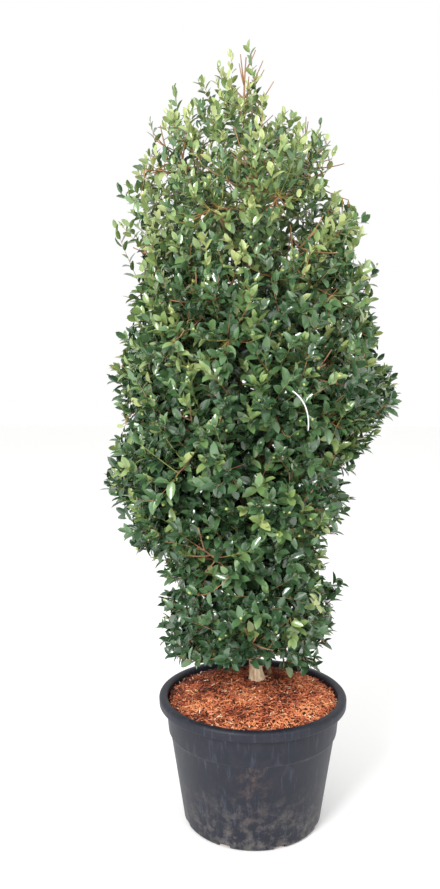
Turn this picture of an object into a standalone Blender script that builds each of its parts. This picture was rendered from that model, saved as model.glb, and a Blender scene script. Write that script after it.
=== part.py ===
"""A tall camellia shrub, grown as a loose column, in a round nursery pot.

The plant is a pot, its root ball, one trunk, a thinner second stem, a bough to each mass of foliage and
the masses themselves. The origin is the centre of the pot's flat underside, +Z is up, and the plant's
front faces -Y. Every length is in metres.
"""

import math
from collections import namedtuple

import bmesh
import bpy
import numpy as np
from mathutils import Matrix, Vector
from mathutils.bvhtree import BVHTree

GAP = 0.0003  # clearance where two pieces touch
GOLDEN_ANGLE = math.pi * (3 - math.sqrt(5))

# Pot: a blow-moulded nursery container with a rolled rim over a collar
POT_HEIGHT = 0.474
RIM_RADIUS = 0.353
RIM_BAND = 0.035
COLLAR_RADIUS = 0.327
COLLAR_HEIGHT = 0.100
COLLAR_TAPER = 0.010  # how much narrower the collar is at its foot
COLLAR_STEP = 0.006
BODY_INSET = 0.018  # how far the body's top stands in from the collar's
RIM_INNER = 0.320
RIM_LIP = 0.012
RIM_EASE = 0.002
RIM_TUCK = 0.003
BASE_RADIUS = 0.258
BASE_ROUNDING = 0.014
POT_WALL = 0.005
FLOOR_FILLET = 0.006
POT_SEGMENTS = 36
DRAIN_COUNT = 8
DRAIN_WIDTH = 0.046
DRAIN_HEIGHT = 0.016
DRAIN_DEPTH = 0.040

# Root ball: its top is a low mound with a level crown that the stems stand on
SOIL_EDGE_HEIGHT = 0.450
SOIL_CROWN_HEIGHT = 0.500
SOIL_CROWN_RADIUS = 0.145
MOUND_SHARES = (0.35, 0.70)

# Trunk: the axis leans a little and sways, so a few bends give it as height, x and y. It starts under
# the soil's level, where a flat cut takes its foot off.
GROUND = SOIL_CROWN_HEIGHT + GAP
TRUNK_BENDS = (
    (0.47, 0.021, 0.053),
    (0.62, 0.006, 0.046),
    (0.92, -0.008, 0.020),
    (1.19, -0.005, 0.004),
    (1.41, 0.010, -0.004),
    (1.75, 0.018, 0.004),
    (2.05, 0.014, 0.006),
    (2.46, -0.030, 0.000),
)
TRUNK_RADIUS = 0.0215
TRUNK_TOP_RADIUS = 0.0075
FLARE = 0.013
FLARE_HEIGHT = 0.035
TRUNK_RINGS = 19

# Second stem: it stands behind the trunk's right side and carries the low mass behind
SECOND_STEM_FOOT = (0.068, 0.098)
SECOND_STEM_RADIUS = 0.0105
SECOND_STEM_BEND = (-0.005, 0.010, 0.13)

# Crown: height, then how far the foliage reaches to the left and to the right of the pot's axis
CROWN = (
    (0.520, 0.215, 0.235),
    (0.600, 0.300, 0.300),
    (0.700, 0.375, 0.310),
    (0.850, 0.360, 0.350),
    (0.950, 0.360, 0.275),
    (1.060, 0.485, 0.300),
    (1.190, 0.560, 0.385),
    (1.280, 0.593, 0.370),
    (1.440, 0.545, 0.430),
    (1.580, 0.540, 0.562),
    (1.690, 0.560, 0.535),
    (1.820, 0.530, 0.515),
    (1.940, 0.498, 0.490),
    (2.070, 0.485, 0.475),
    (2.220, 0.513, 0.445),
    (2.365, 0.500, 0.400),
    (2.500, 0.440, 0.305),
    (2.610, 0.382, 0.225),
    (2.700, 0.290, 0.120),
    (2.790, 0.170, 0.080),
    (2.863, 0.100, 0.010),
)
DEPTH_SHARE = 0.94  # the crown's depth against its width
FLOOR = 0.555  # the foliage's lowest reach at the sides and the back
FRONT_FLOOR_RISE = 0.115

# Masses: a tier's masses stand at even azimuths from +X, the even ones stagger higher than its height
# and the odd ones as much lower. climb is the rise of their boughs and lean that of their foliage, in
# degrees, drop how far under a mass's centre its bough ends, core the size of the lump inside it, and
# leaf_size the size of its leaves.
Tier = namedtuple("Tier", "name height stagger count climb lean drop core leaf_size")
TIERS = (
    Tier("low", 0.775, -0.020, 4, 22, 2, 0.06, 0.56, 0.80),
    Tier("skirt", 1.150, 0.085, 6, 42, 14, 0.13, 0.54, 1.00),
    Tier("middle", 1.560, 0.085, 6, 50, 20, 0.13, 0.54, 1.00),
    Tier("upper", 1.970, 0.085, 6, 58, 28, 0.13, 0.52, 0.95),
    Tier("shoulder", 2.370, -0.070, 4, 62, 45, 0.13, 0.40, 0.75),
)
SPIRE = Tier("spire", 2.720, 0.0, 1, 90, 90, 0.0, 0.0, 0.70)
SECOND_STEM_CARRIES = "bough_low_2"
CENTRE_SHARE = 0.60  # how far out a mass is centred, as a share of the crown's reach there
BOUGH_SHARE = 0.34  # how far out a bough ends
BOUGH_POINTS = 5
BOUGH_SLENDERNESS = 0.46  # a bough's radius at its root against the trunk's
BOUGH_TAPER = 0.62
COPE = 1.1 * GAP  # how much wider than the trunk the boughs' roots are cut
LOWEST_BOUGH = 0.59
STEM_COLLAR = 0.012  # how far a mass's stem runs on in line with its bough
SPACE_MARGIN = 0.002
LIMB_MARGIN = 0.003
CORE_LIMIT = 0.20
CORE_SIDEWAYS = 0.34  # how much further a core goes sideways and inwards than outwards

# Sprays: each leaf of the solids stands for a spray of the plant's small leaves
LEAF_LENGTH = 0.165
LEAF_WIDTH = 0.082
LEAF_THICKNESS = 0.007
LEAF_SPREAD = math.radians(62)
LEAF_SPACING = 0.040
LEAF_SINK = 0.0025
LEAVES_PER_TWIG = 2
LENGTHS_TRIED = (1.0, 0.85, 0.7, 0.55)
TWIG_RADIUS = 0.0052
TWIG_TIP_RADIUS = 0.0034
TWIGS_PER_MASS = 6
TWIG_ROOT = 0.55  # how far up the stem a twig leaves it, and how much further up if it points outwards
TWIG_ROOT_SPREAD = 0.30
STEM_TIP_SHARE = 0.86  # the share of a leaf's length that is left free ahead of a stem, and of a twig
TWIG_TIP_SHARE = 0.71
SHORTEST_REACH = 0.03
FAN_WIDTH = math.radians(112)


def principled(name, color, roughness, metallic=0.0):
    """A Principled material in one linear colour."""
    material = bpy.data.materials.new(name)
    material.use_nodes = True
    shader = material.node_tree.nodes["Principled BSDF"]
    shader.inputs["Base Color"].default_value = (*color, 1.0)
    shader.inputs["Roughness"].default_value = roughness
    shader.inputs["Metallic"].default_value = metallic
    material.diffuse_color = (*color, 1.0)
    return material


def clear_scene():
    for obj in list(bpy.data.objects):
        bpy.data.objects.remove(obj, do_unlink=True)


def new_collection(name):
    collection = bpy.data.collections.new(name)
    bpy.context.scene.collection.children.link(collection)
    return collection


def add_object(name, data, collection, material=None):
    obj = bpy.data.objects.new(name, data)
    collection.objects.link(obj)
    if material:
        obj.data.materials.append(material)
    return obj


def mesh_of(bm, name):
    mesh = bpy.data.meshes.new(name)
    bm.to_mesh(mesh)
    bm.free()
    return mesh


def make_cutter(obj):
    obj.hide_render = True
    obj.display_type = "WIRE"
    return obj


def add_boolean(obj, operation, other):
    boolean = obj.modifiers.new(operation.title(), "BOOLEAN")
    boolean.operation = operation
    boolean.object = other
    boolean.solver = "EXACT"
    return boolean


def evaluated_mesh(obj):
    """The object's mesh with its modifiers applied."""
    graph = bpy.context.evaluated_depsgraph_get()
    return bpy.data.meshes.new_from_object(obj.evaluated_get(graph))


def turned(name, profile, collection, material, segments):
    """A profile of (radius, height) points, from the axis over the top and down the outside, spun round Z."""
    bm = bmesh.new()
    points = [bm.verts.new((radius, 0, height)) for radius, height in profile]
    for first, second in zip(points, points[1:]):
        bm.edges.new((first, second))
    obj = add_object(name, mesh_of(bm, name), collection, material)
    screw = obj.modifiers.new("Turn", "SCREW")
    screw.steps = segments
    screw.render_steps = segments
    screw.use_merge_vertices = True
    screw.merge_threshold = 0.0001
    return obj


# Pot and root ball


def pot_outer_radius(height):
    """The body's outer radius under its collar."""
    collar_foot = POT_HEIGHT - RIM_BAND - COLLAR_HEIGHT
    share = (height - BASE_ROUNDING) / (collar_foot - BASE_ROUNDING)
    return BASE_RADIUS + (COLLAR_RADIUS - BODY_INSET - BASE_RADIUS) * share


def pot_inner_radius(height):
    return pot_outer_radius(height) - POT_WALL


def make_pot(parts, cutters, material):
    rim_foot = POT_HEIGHT - RIM_BAND
    collar_foot = rim_foot - COLLAR_HEIGHT
    inner_foot = pot_inner_radius(BASE_ROUNDING)
    rounding = [
        (
            BASE_RADIUS - BASE_ROUNDING * (1 - math.cos(angle)),
            BASE_ROUNDING * (1 - math.sin(angle)),
        )
        for angle in np.linspace(0, math.pi / 2, 4)
    ]
    profile = [
        (0, POT_WALL),
        (inner_foot - FLOOR_FILLET, POT_WALL),
        (inner_foot, BASE_ROUNDING),
        (pot_inner_radius(collar_foot), collar_foot),
        (RIM_INNER, POT_HEIGHT - RIM_LIP),
        (RIM_INNER + RIM_LIP / 2, POT_HEIGHT - RIM_EASE),
        (RIM_INNER + RIM_LIP + RIM_EASE, POT_HEIGHT),
        (RIM_RADIUS - RIM_LIP / 2, POT_HEIGHT - RIM_EASE),
        (RIM_RADIUS, POT_HEIGHT - RIM_LIP + RIM_EASE),
        (RIM_RADIUS - RIM_TUCK, rim_foot),
        (RIM_RADIUS - 3 * RIM_TUCK, rim_foot),
        (COLLAR_RADIUS, rim_foot + 2 * RIM_TUCK),
        (COLLAR_RADIUS - COLLAR_TAPER, collar_foot),
        (pot_outer_radius(collar_foot), collar_foot - COLLAR_STEP),
        *rounding,
        (0, 0),
    ]
    pot = turned("pot", profile, parts, material, POT_SEGMENTS)
    for number in range(DRAIN_COUNT):
        bm = bmesh.new()
        bmesh.ops.create_cube(bm, size=1)
        size = Vector((DRAIN_DEPTH, DRAIN_WIDTH, 2 * DRAIN_HEIGHT))
        bmesh.ops.scale(bm, vec=size, verts=bm.verts)
        angle = 2 * math.pi * (number + 0.5) / DRAIN_COUNT
        place = Matrix.Rotation(angle, 4, "Z") @ Matrix.Translation((BASE_RADIUS, 0, 0))
        bmesh.ops.transform(bm, matrix=place, verts=bm.verts)
        name = f"drain_cutter_{number + 1}"
        cutter = make_cutter(add_object(name, mesh_of(bm, name), cutters))
        add_boolean(pot, "DIFFERENCE", cutter)


def make_root_ball(parts, material):
    collar_foot = POT_HEIGHT - RIM_BAND - COLLAR_HEIGHT
    edge_share = (SOIL_EDGE_HEIGHT - collar_foot) / (POT_HEIGHT - RIM_LIP - collar_foot)
    edge_radius = pot_inner_radius(collar_foot)
    edge_radius += (RIM_INNER - edge_radius) * edge_share - 2 * GAP
    profile = [(0, SOIL_CROWN_HEIGHT), (SOIL_CROWN_RADIUS, SOIL_CROWN_HEIGHT)]
    for share in MOUND_SHARES:
        radius = SOIL_CROWN_RADIUS + (edge_radius - SOIL_CROWN_RADIUS) * share
        fall = (1 - math.cos(math.pi * share)) / 2
        height = SOIL_CROWN_HEIGHT + (SOIL_EDGE_HEIGHT - SOIL_CROWN_HEIGHT) * fall
        profile.append((radius, height))
    profile += [
        (edge_radius, SOIL_EDGE_HEIGHT),
        (pot_inner_radius(collar_foot) - 2 * GAP, collar_foot),
        (pot_inner_radius(BASE_ROUNDING) - 2 * GAP, BASE_ROUNDING),
        (pot_inner_radius(BASE_ROUNDING) - FLOOR_FILLET - 2 * GAP, POT_WALL + GAP),
        (0, POT_WALL + GAP),
    ]
    turned("root_ball", profile, parts, material, POT_SEGMENTS)


# Limbs


def unit(vector):
    return vector / np.linalg.norm(vector)


def smooth_line(points, count):
    """Points evenly along a Catmull-Rom curve through the given ones."""
    points = np.array(points, float)
    padded = np.vstack([2 * points[0] - points[1], points, 2 * points[-1] - points[-2]])
    line = []
    for place in np.linspace(0, len(points) - 1, count):
        start = min(int(place), len(points) - 2)
        t = place - start
        a, b, c, d = padded[start : start + 4]
        line.append(
            0.5 * (2 * b + (c - a) * t + (2 * a - 5 * b + 4 * c - d) * t**2)
            + 0.5 * (3 * b - a - 3 * c + d) * t**3
        )
    return np.array(line)


def arc(start, bend, end, count):
    """Points along a quadratic curve from start to end, drawn towards bend."""
    t = np.linspace(0, 1, count)[:, None]
    return (1 - t) ** 2 * start + 2 * t * (1 - t) * bend + t**2 * end


def cut_foot(bm, height):
    """Cuts a limb off level at this height and closes the cut."""
    geometry = bm.verts[:] + bm.edges[:] + bm.faces[:]
    bmesh.ops.bisect_plane(
        bm, geom=geometry, plane_co=(0, 0, height), plane_no=(0, 0, 1), clear_inner=True
    )
    rim = [edge for edge in bm.edges if edge.is_boundary]
    bmesh.ops.holes_fill(bm, edges=rim)


def limb_object(name, line, radii, collection, material=None, resolution=1, foot=None):
    """A tapering limb: a bevelled curve with filled caps, made a mesh and its caps welded."""
    curve = bpy.data.curves.new(name, "CURVE")
    curve.dimensions = "3D"
    curve.bevel_depth = 1.0
    curve.bevel_resolution = resolution
    curve.use_fill_caps = True
    spline = curve.splines.new("POLY")
    spline.points.add(len(line) - 1)
    for point, place, radius in zip(spline.points, line, radii):
        point.co = (*place, 1)
        point.radius = radius
    guide = add_object(name + "_guide", curve, collection)
    mesh = evaluated_mesh(guide)
    mesh.name = name
    bpy.data.objects.remove(guide)
    bm = bmesh.new()
    bm.from_mesh(mesh)
    bmesh.ops.remove_doubles(bm, verts=bm.verts, dist=0.00001)
    if foot:
        cut_foot(bm, foot)
    bmesh.ops.recalc_face_normals(bm, faces=bm.faces)
    bm.to_mesh(mesh)
    bm.free()
    return add_object(name, mesh, collection, material)


def trunk_line(count):
    """The trunk's axis from its foot to its tip, as (x, y, z)."""
    bends = [(x, y, height) for height, x, y in TRUNK_BENDS]
    return smooth_line(bends, count)


def trunk_radius(height):
    share = (height - GROUND) / (TRUNK_BENDS[-1][0] - GROUND)
    taper = TRUNK_RADIUS + (TRUNK_TOP_RADIUS - TRUNK_RADIUS) * share
    return taper + FLARE * math.exp(-(height - GROUND) / FLARE_HEIGHT)


def trunk_point(height):
    line = trunk_line(200)
    x = np.interp(height, line[:, 2], line[:, 0])
    y = np.interp(height, line[:, 2], line[:, 1])
    return np.array((x, y, height))


# Crown and the space of each mass


def crown_reach(azimuth, height):
    """How far the crown reaches from the pot's axis, at this azimuth and height."""
    rows = np.array(CROWN)
    left = np.interp(height, rows[:, 0], rows[:, 1], left=0, right=0)
    right = np.interp(height, rows[:, 0], rows[:, 2], left=0, right=0)
    side = np.cos(azimuth)
    share = side**2
    depth = DEPTH_SHARE * (left + right) / 2
    reach = np.where(side > 0, right, left) * share + depth * (1 - share)
    floor = FLOOR + FRONT_FLOOR_RISE * np.maximum(-np.sin(azimuth), 0)
    return np.where(height > floor, reach, 0)


def outward(azimuth):
    return np.array((math.cos(azimuth), math.sin(azimuth), 0.0))


class Mass:
    """One mass of foliage: where it is centred, which way it grows and the limb that carries it."""

    def __init__(self, name, centre, azimuth, tier):
        self.name = "foliage_" + name
        self.bough_name = "bough_" + name
        self.centre = centre
        self.azimuth = azimuth
        lean = math.radians(tier.lean)
        self.axis = math.cos(lean) * outward(azimuth) + np.array((0, 0, math.sin(lean)))
        self.core = tier.core
        self.leaf_length = LEAF_LENGTH * tier.leaf_size
        self.leaf_width = LEAF_WIDTH * tier.leaf_size
        self.line = None

    def ride_on(self, line, radii):
        """Sets where this mass's own stem takes over from the limb that ends in it."""
        self.start_direction = unit(line[-1] - line[-2])
        self.start = line[-1] + GAP * self.start_direction
        self.start_radius = radii[-1]


def carry_by_bough(mass, tier):
    """Lays the bough: out of the trunk, upwards in a shallow curve, to end inside its mass."""
    run = BOUGH_SHARE * float(crown_reach(mass.azimuth, mass.centre[2]))
    tip = run * outward(mass.azimuth)
    tip[2] = mass.centre[2] - tier.drop
    root_height = max(tip[2] - run * math.tan(math.radians(tier.climb)), LOWEST_BOUGH)
    root = trunk_point(root_height)
    bend = root + 0.55 * run * outward(mass.azimuth)
    bend[2] += 0.35 * (tip[2] - root_height)
    root_radius = BOUGH_SLENDERNESS * trunk_radius(root_height)
    if mass.bough_name == SECOND_STEM_CARRIES:
        mass.bough_name = "second_stem"
        root = np.array((*SECOND_STEM_FOOT, TRUNK_BENDS[0][0]))
        bend = root + np.array(SECOND_STEM_BEND)
        root_radius = SECOND_STEM_RADIUS
    mass.line = arc(root, bend, tip, BOUGH_POINTS)
    mass.radii = np.linspace(root_radius, BOUGH_TAPER * root_radius, BOUGH_POINTS)
    mass.ride_on(mass.line, mass.radii)


def plan_masses():
    """Every mass, tier by tier, each with its bough, and the spire on the trunk's own tip."""
    masses = []
    for tier in TIERS:
        for number in range(tier.count):
            azimuth = 2 * math.pi * number / tier.count
            height = tier.height + (tier.stagger if number % 2 else -tier.stagger)
            centre = CENTRE_SHARE * float(crown_reach(azimuth, height)) * outward(azimuth)
            centre[2] = height
            mass = Mass(f"{tier.name}_{number + 1}", centre, azimuth, tier)
            carry_by_bough(mass, tier)
            masses.append(mass)
    tip = trunk_point(TRUNK_BENDS[-1][0])
    spire = Mass(SPIRE.name, np.array((tip[0], tip[1], SPIRE.height)), 0.0, SPIRE)
    spire.ride_on(trunk_line(TRUNK_RINGS), [TRUNK_TOP_RADIUS])
    return [*masses, spire]


def limb_segments(masses):
    """Every limb as rows of start, end and the larger radius, to keep foliage clear of it."""
    line = trunk_line(TRUNK_RINGS)
    radii = [trunk_radius(point[2]) for point in line]
    rows = [(a, b, r) for a, b, r in zip(line, line[1:], radii)]
    for mass in masses:
        if mass.line is not None:
            rows += [(a, b, r) for a, b, r in zip(mass.line, mass.line[1:], mass.radii)]
    starts, ends, radii = zip(*rows)
    return np.array(starts), np.array(ends), np.array(radii)


class Space:
    """The crown divided among the masses: a point belongs to the nearest centre, clear of every limb."""

    def __init__(self, masses):
        self.centres = np.array([mass.centre for mass in masses])
        self.starts, self.ends, self.radii = limb_segments(masses)

    def holds(self, index, points, margin=SPACE_MARGIN):
        """Whether each point lies in the crown and in this mass's share of it."""
        points = np.atleast_2d(points)
        azimuth = np.arctan2(points[:, 1], points[:, 0])
        reach = crown_reach(azimuth, points[:, 2])
        good = np.hypot(points[:, 0], points[:, 1]) < reach
        distance = np.linalg.norm(points[:, None] - self.centres, axis=2)
        own = distance[:, index]
        apart = np.linalg.norm(self.centres - self.centres[index], axis=1)
        free = own[:, None] ** 2 + 2 * margin * apart < distance**2
        free[:, index] = True
        return good & free.all(axis=1)

    def clear(self, points, margin=LIMB_MARGIN):
        """Whether each point is off every limb."""
        points = np.atleast_2d(points)[:, None]
        along = self.ends - self.starts
        t = ((points - self.starts) * along).sum(axis=2) / (along**2).sum(axis=1)
        nearest = self.starts + np.clip(t, 0, 1)[..., None] * along
        return (np.linalg.norm(points - nearest, axis=2) > self.radii + margin).all(axis=1)

    def room(self, index, start, direction, limit=0.8):
        """How far a line from start runs before it leaves the space or meets a limb."""
        steps = np.arange(0.01, limit, 0.005)
        points = start + steps[:, None] * direction
        good = self.holds(index, points) & self.clear(points)
        return steps[np.argmin(good)] if not good.all() else limit


# Foliage


def basis(forward, up):
    """A rotation whose X is forward and whose Z leans towards up."""
    side = unit(np.cross(up, forward))
    top = np.cross(forward, side)
    return Matrix(np.column_stack((forward, side, top)).tolist())


def along(line, share):
    """The point this far along a line of points."""
    place = share * (len(line) - 1)
    low = min(int(place), len(line) - 2)
    return line[low] + (place - low) * (line[low + 1] - line[low])


def add_twig(name, start, end, turn, collection):
    """A straight tapering twig of three sides. Its first corner points along turn's X."""
    bm = bmesh.new()
    length = float(np.linalg.norm(end - start))
    bmesh.ops.create_cone(
        bm,
        cap_ends=True,
        segments=3,
        radius1=TWIG_RADIUS,
        radius2=TWIG_TIP_RADIUS,
        depth=length,
        matrix=Matrix.Translation((0, 0, length / 2)),
    )
    place = Matrix.Translation(Vector(start)) @ turn.to_4x4()
    bmesh.ops.transform(bm, matrix=place, verts=bm.verts)
    return add_object(name, mesh_of(bm, name), collection)


def leaf_frame(root, heading, face, length, width):
    """The matrix that lays a leaf from its root along heading, its upper side towards face."""
    turn = basis(heading, face).to_4x4()
    size = Matrix.Diagonal((length / 2, width / 2, LEAF_THICKNESS / 2, 1))
    return Matrix.Translation(Vector(root + heading * length / 2)) @ turn @ size


def leaf_outline(frame):
    """Points on the leaf's outline and its two faces, for the test of its space."""
    corners = [(-0.6, 0, 0), (1, 0, 0), (0, 0, 1), (0, 0, -1)]
    corners += [(run, side * (1 - run), 0) for run in (0, 0.33, 0.67) for side in (1, -1)]
    return np.array([frame @ Vector(corner) for corner in corners])


def add_leaf(name, frame, collection):
    """A leaf of eight faces: an octahedron drawn out flat."""
    bm = bmesh.new()
    bmesh.ops.create_uvsphere(bm, u_segments=4, v_segments=2, radius=1)
    upright = Matrix.Rotation(math.pi / 2, 4, "Y")
    bmesh.ops.transform(bm, matrix=frame @ upright, verts=bm.verts)
    return add_object(name, mesh_of(bm, name), collection)


def stem_line(mass, index, space):
    """The line of a mass's own stem, from its bough's end towards its leading tip."""
    room = space.room(index, mass.centre, mass.axis)
    tip = mass.centre + max(room - STEM_TIP_SHARE * mass.leaf_length, SHORTEST_REACH) * mass.axis
    collar = mass.start + STEM_COLLAR * mass.start_direction
    bend = collar + 0.4 * np.linalg.norm(tip - collar) * mass.start_direction
    return np.vstack((mass.start, arc(collar, bend, tip, 4)))


def fan(count, axis, widest):
    """Directions spread evenly in a cone about the axis, by a golden-angle spiral."""
    turn = basis(axis, np.array((0.1, 0.2, 1.0)))
    directions = []
    for number in range(count):
        run = 1 - (number + 0.7) / count * (1 - math.cos(widest))
        rise = math.sqrt(1 - run * run)
        around = (number + 0.5) * GOLDEN_ANGLE
        local = Vector((run, rise * math.cos(around), rise * math.sin(around)))
        directions.append(np.array(turn @ local))
    return directions


def add_core(mass, index, space, limbs, collection):
    """The dark inside of a dense mass: a lump that follows the mass's own space, well within it."""
    scale = mass.core
    while True:
        bm = bmesh.new()
        bmesh.ops.create_icosphere(bm, subdivisions=1, radius=1)
        for vert in bm.verts:
            direction = np.array(vert.co.normalized())
            room = space.room(index, mass.centre, direction)
            sideways = CORE_SIDEWAYS * (1 - max(float(direction @ mass.axis), 0))
            reach = min((scale + sideways) * room, CORE_LIMIT)
            vert.co = Vector(mass.centre + reach * direction)
        if not BVHTree.FromBMesh(bm).overlap(limbs):
            break
        bm.free()
        scale *= 0.9
    name = mass.name + "_core"
    return add_object(name, mesh_of(bm, name), collection)


def fit_leaf(mass, index, space, root, heading, face, collection):
    """Adds the longest leaf that keeps to the mass's space and off the limbs, if one does."""
    for share in LENGTHS_TRIED:
        length = share * mass.leaf_length
        frame = leaf_frame(root, heading, face, length, mass.leaf_width)
        points = leaf_outline(frame)
        if space.holds(index, points).all() and space.clear(points).all():
            add_leaf(mass.name + "_leaf", frame, collection)
            return True
    return False


def dress_twig(mass, index, space, start, end, collection):
    """One leaf at a twig's end and others down it, each leaving from the flat of one of its sides."""
    forward = unit(end - start)
    length = float(np.linalg.norm(end - start))
    turn = basis(np.roll(forward, 1), forward)
    side = np.array(turn.col[1])
    over = np.cross(forward, side)
    lit = unit(end - mass.centre + 0.1 * mass.axis + np.array((0.01, 0.02, 0.05)))
    fit_leaf(mass, index, space, end - LEAF_SINK * forward, forward, lit, collection)
    for number in range(LEAVES_PER_TWIG):
        back = LEAF_SPACING * (number + 0.5)
        if back > 0.75 * length:
            break
        for attempt in range(3):
            angle = math.radians(60 + 120 * (number + attempt))
            radial = math.cos(angle) * side + math.sin(angle) * over
            heading = math.cos(LEAF_SPREAD) * forward + math.sin(LEAF_SPREAD) * radial
            root = end - back * forward
            if fit_leaf(mass, index, space, root, heading, lit, collection):
                break


def largest_body(mesh):
    """Drops every loose scrap and every sealed hollow, which leaves the one outer surface."""
    bm = bmesh.new()
    bm.from_mesh(mesh)
    unseen = set(bm.faces)
    bodies = []
    while unseen:
        body, front = [], [unseen.pop()]
        while front:
            face = front.pop()
            body.append(face)
            near = {other for edge in face.edges for other in edge.link_faces} & unseen
            unseen -= near
            front += near
        bodies.append(body)
    bodies.sort(key=len)
    scraps = [face for body in bodies[:-1] for face in body]
    bmesh.ops.delete(bm, geom=scraps, context="FACES")
    bm.to_mesh(mesh)
    bm.free()


def join_pieces(stem, pieces):
    """Joins a collection's closed pieces to the stem by one union, and removes them."""
    union = stem.modifiers.new("Union", "BOOLEAN")
    union.operation = "UNION"
    union.operand_type = "COLLECTION"
    union.collection = pieces
    union.solver = "MANIFOLD"
    joined = evaluated_mesh(stem)
    stem.modifiers.clear()
    stem.data = joined
    for piece in list(pieces.objects):
        bpy.data.objects.remove(piece)
    bpy.data.collections.remove(pieces)
    return joined


def make_mass(mass, index, space, limbs, parts, material):
    """One mass: stem, twigs, leaves and any core, joined into one solid."""
    pieces = new_collection(mass.name + "_pieces")
    line = stem_line(mass, index, space)
    radii = np.linspace(mass.start_radius, TWIG_TIP_RADIUS, len(line))
    stem = limb_object(mass.name, line, radii, parts, material, resolution=0)
    dress_twig(mass, index, space, line[-2], line[-1], pieces)
    for direction in fan(TWIGS_PER_MASS, mass.axis, FAN_WIDTH):
        start = along(line, TWIG_ROOT + TWIG_ROOT_SPREAD * float(direction @ mass.axis))
        room = space.room(index, mass.centre, direction)
        end = mass.centre + max(room - TWIG_TIP_SHARE * mass.leaf_length, SHORTEST_REACH) * direction
        path = start + np.linspace(0.1, 1, 12)[:, None] * (end - start)
        if not (space.clear(path) & space.holds(index, path)).all():
            continue
        forward = unit(end - start)
        side = np.array(basis(np.roll(forward, 1), forward).col[1])
        turn = Matrix(np.column_stack((side, np.cross(forward, side), forward)).tolist())
        add_twig(mass.name + "_twig", start, end, turn, pieces)
        dress_twig(mass, index, space, start, end, pieces)
    if mass.core:
        add_core(mass, index, space, limbs, pieces)
    joined = join_pieces(stem, pieces)
    largest_body(joined)
    joined.shade_flat()


def make_limbs(masses, parts, cutters, bark):
    """The trunk, the second stem and the boughs, each bough's root coped to the trunk."""
    line = trunk_line(TRUNK_RINGS)
    radii = [trunk_radius(point[2]) for point in line]
    limb_object("trunk", line, radii, parts, bark, resolution=4, foot=GROUND)
    wider = [radius + COPE for radius in radii]
    cutter = make_cutter(limb_object("trunk_cutter", line, wider, cutters, resolution=4))
    tree = bmesh.new()
    tree.from_mesh(cutter.data)
    for mass in masses:
        if mass.line is None:
            continue
        foot = GROUND if mass.bough_name == "second_stem" else None
        bough = limb_object(mass.bough_name, mass.line, mass.radii, parts, bark, foot=foot)
        tree.from_mesh(bough.data)
        if not foot:
            add_boolean(bough, "DIFFERENCE", cutter)
    limbs = BVHTree.FromBMesh(tree)
    tree.free()
    return limbs


def main():
    clear_scene()
    parts = new_collection("camellia")
    cutters = new_collection("cutters")
    plastic = principled("pot_plastic", (0.045, 0.052, 0.070), 0.55)
    substrate = principled("bark_mulch", (0.220, 0.070, 0.028), 0.95)
    bark = principled("bark", (0.560, 0.380, 0.240), 0.80)
    foliage = principled("foliage", (0.030, 0.085, 0.028), 0.35)
    make_pot(parts, cutters, plastic)
    make_root_ball(parts, substrate)
    masses = plan_masses()
    limbs = make_limbs(masses, parts, cutters, bark)
    space = Space(masses)
    for index, mass in enumerate(masses):
        make_mass(mass, index, space, limbs, parts, foliage)


main()
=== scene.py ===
# %% [markdown]
# # A tall potted camellia
# The solids of this plant hold a few hundred leaves that are far larger than life. This script keeps
# their trunk, boughs, pot and outline, and dresses them: bark with relief, thousands of small glossy
# leaves on fine twigs, buds, a scuffed nursery pot and loose bark mulch. Everything is in metres, with
# the origin under the pot's centre, +Z up and the front towards -Y.

# %% Load the frame
import math
from collections import namedtuple

import bmesh
import bpy
import numpy as np
from mathutils import Matrix, Vector, noise


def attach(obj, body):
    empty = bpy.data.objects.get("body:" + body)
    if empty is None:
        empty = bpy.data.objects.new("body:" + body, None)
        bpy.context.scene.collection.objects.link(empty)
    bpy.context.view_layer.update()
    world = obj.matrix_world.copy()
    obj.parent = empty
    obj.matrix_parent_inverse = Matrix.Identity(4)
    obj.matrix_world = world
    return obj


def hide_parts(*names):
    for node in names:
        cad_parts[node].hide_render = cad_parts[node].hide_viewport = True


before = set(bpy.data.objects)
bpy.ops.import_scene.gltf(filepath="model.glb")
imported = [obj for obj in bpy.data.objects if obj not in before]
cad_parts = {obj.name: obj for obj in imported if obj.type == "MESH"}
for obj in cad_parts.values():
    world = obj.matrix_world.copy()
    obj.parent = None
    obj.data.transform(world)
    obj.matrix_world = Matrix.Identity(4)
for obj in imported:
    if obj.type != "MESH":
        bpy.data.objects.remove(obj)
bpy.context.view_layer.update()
rng = np.random.default_rng(41)
foliage_nodes = sorted(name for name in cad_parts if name.startswith("foliage"))
bough_nodes = sorted(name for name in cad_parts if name.startswith("bough"))
print(len(foliage_nodes), "masses of foliage and", len(bough_nodes), "boughs to dress")

# %% [markdown]
# Small helpers serve every finish below. Colours are written as the sRGB hex values that a paint program
# shows, and one function turns them to the linear values that shading needs. The others add a node with
# its settings and links, start a material, lay noise through a piece, blend two colours by it, and turn
# it into fine relief.

# %% Colours, nodes and materials


def linear(code):
    """A hex colour as linear red, green, blue and an alpha of one."""
    values = [int(code[place : place + 2], 16) / 255 for place in (1, 3, 5)]
    return [*(v / 12.92 if v <= 0.04045 else ((v + 0.055) / 1.055) ** 2.4 for v in values), 1.0]


def add(tree, kind, inputs=None, **settings):
    """Adds a node. inputs maps a socket's name or number to a value or to another node's output."""
    made = tree.nodes.new("ShaderNode" + kind)
    for name, value in settings.items():
        setattr(made, name, value)
    for key, value in (inputs or {}).items():
        if isinstance(value, bpy.types.NodeSocket):
            tree.links.new(value, made.inputs[key])
        else:
            made.inputs[key].default_value = value
    return made


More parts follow.
